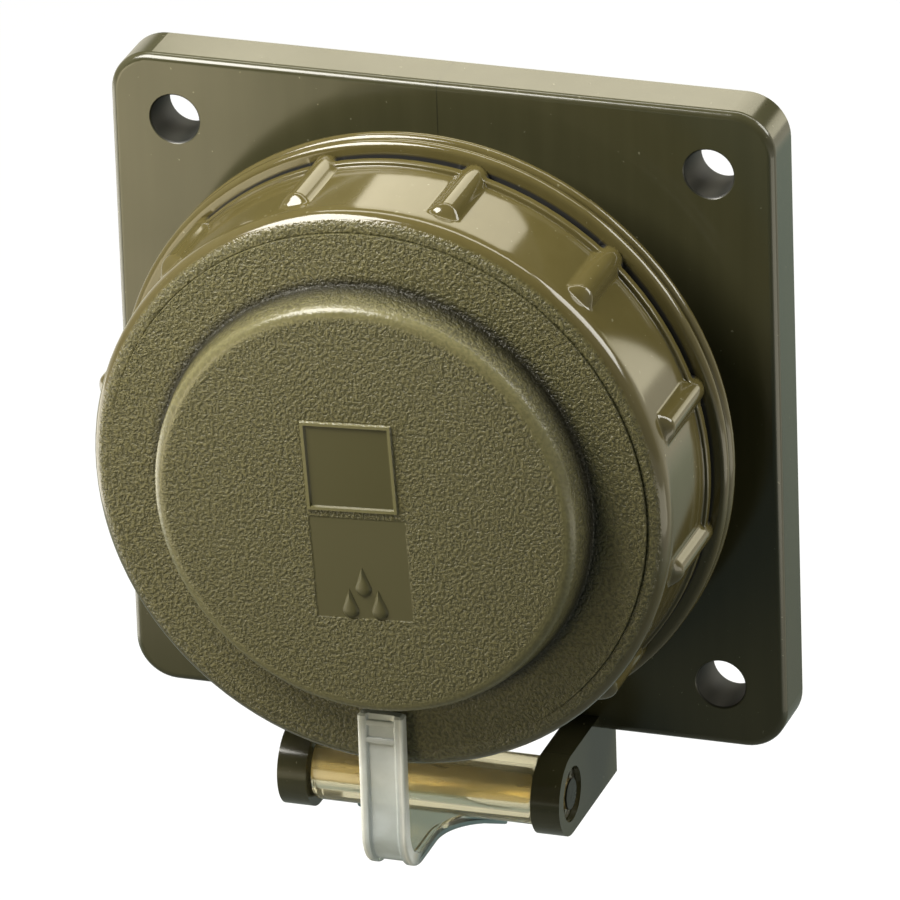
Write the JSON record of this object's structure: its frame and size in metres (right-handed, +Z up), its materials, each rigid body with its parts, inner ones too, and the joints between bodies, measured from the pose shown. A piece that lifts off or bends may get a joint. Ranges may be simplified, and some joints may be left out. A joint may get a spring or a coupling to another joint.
{
  "type": "panel mount socket",
  "caption": "Square-flanged watertight power socket with a bottom-hinged round lid, a ribbed bayonet ring and a clear hinge strap.",
  "frame": {"origin": "centre of the flange's back face, on the socket's axis", "axes": "+Y into the panel, +Z up, +X right as seen from the front; the lid faces -Y"},
  "size_m": [0.087, 0.0712, 0.0958],
  "materials": {
    "olive_gloss": "smooth moulded",
    "olive_grain": "grained",
    "dark_plastic": "satin",
    "clear_plastic": "clear, glossy",
    "rubber": "matte",
    "brass": "turned",
    "steel": "plated"
  },
  "bodies": {
    "socket": {"housing": "olive_gloss", "flange_gasket": "rubber", "contact_carrier": "dark_plastic", "carrier_inserts": "brass", "carrier_seal": "rubber", "terminal_block": "dark_plastic", "contact_pe": "brass", "contact_l1": "brass", "contact_l2": "brass", "contact_l3": "brass", "contact_n": "brass", "contact_springs": "steel", "terminal_screws": "steel", "block_screws": "steel", "hinge_pin": "steel", "pin_retainer": "steel"},
    "lid": {"lid": "olive_grain", "lid_seal": "rubber", "hinge_strap": "clear_plastic"},
    "ring": {"bayonet_ring": "olive_gloss"}
  },
  "joints": [
    {"name": "lid_hinge", "type": "hinge", "parent": "socket", "child": "lid", "pos_m": [0, -0.0188, -0.0469], "axis": [1, 0, 0], "range_deg": [0, 165]},
    {"name": "ring_turn", "type": "hinge", "parent": "lid", "child": "ring", "pos_m": [0, -0.0246, 0], "axis": [0, 1, 0], "range_deg": [0, 45]}
  ]
}
